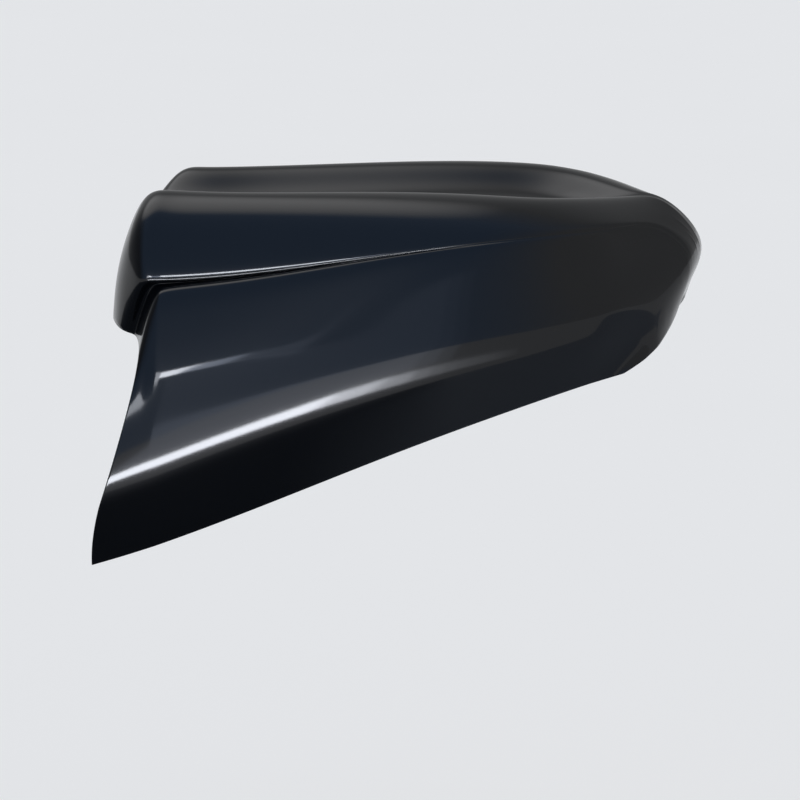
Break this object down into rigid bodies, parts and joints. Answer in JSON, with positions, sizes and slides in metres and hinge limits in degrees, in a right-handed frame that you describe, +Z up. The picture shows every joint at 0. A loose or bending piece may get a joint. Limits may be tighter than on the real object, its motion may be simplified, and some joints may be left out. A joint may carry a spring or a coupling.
{
  "type": "motorcycle seat cowl",
  "caption": "Gloss black single-seat cowl with twin crests, a shallow valley, overhanging side lips and hanging wings, on a moulded pan with lock striker, front tongue and rubber rests.",
  "frame": {"origin": "middle of the lock striker's straight bar, on its axis", "axes": "+X to the rear of the motorcycle and along the cowl's length, +Y to its right along the striker's bar, +Z up"},
  "size_m": [0.4039, 0.262, 0.2556],
  "materials": {
    "gloss_black_shell": "gloss",
    "black_moulded_pan": "fine texture",
    "black_block": "satin",
    "brass": "turned",
    "zinc_plated_sheet": "zinc plated, satin",
    "zinc_plated_bar": "zinc plated",
    "stainless_fixings": "satin",
    "black_rubber": "matte",
    "black_foam": "matte foam"
  },
  "bodies": {
    "root": {"cowl_shell": "gloss_black_shell", "base_pan": "black_moulded_pan", "striker_plate": "zinc_plated_sheet", "lock_striker": "zinc_plated_bar", "front_tongue": "zinc_plated_sheet", "bonded_block_front_left": "black_block", "bonded_block_front_right": "black_block", "bonded_block_rear_left": "black_block", "bonded_block_rear_right": "black_block", "insert_front_left": "brass", "insert_front_right": "brass", "insert_rear_left": "brass", "insert_rear_right": "brass", "tower_screw_front_left": "stainless_fixings", "tower_screw_front_right": "stainless_fixings", "tower_screw_rear_left": "stainless_fixings", "tower_screw_rear_right": "stainless_fixings", "tower_washer_front_left": "stainless_fixings", "tower_washer_front_right": "stainless_fixings", "tower_washer_rear_left": "stainless_fixings", "tower_washer_rear_right": "stainless_fixings", "striker_bolt_front_left": "stainless_fixings", "striker_bolt_front_right": "stainless_fixings", "striker_bolt_rear_left": "stainless_fixings", "striker_bolt_rear_right": "stainless_fixings", "striker_nut_front_left": "stainless_fixings", "striker_nut_front_right": "stainless_fixings", "striker_nut_rear_left": "stainless_fixings", "striker_nut_rear_right": "stainless_fixings", "rubber_rest_front_left": "black_rubber", "rubber_rest_front_right": "black_rubber", "rubber_rest_rear_left": "black_rubber", "rubber_rest_rear_right": "black_rubber", "wing_pad_front_left": "black_foam", "wing_pad_front_right": "black_foam", "wing_pad_rear_left": "black_foam", "wing_pad_rear_right": "black_foam", "tongue_bolt_left": "stainless_fixings", "tongue_bolt_right": "stainless_fixings", "tongue_nut_left": "stainless_fixings", "tongue_nut_right": "stainless_fixings", "front_foam_strip": "black_foam", "rear_foam_strip": "black_foam"}
  },
  "joints": []
}
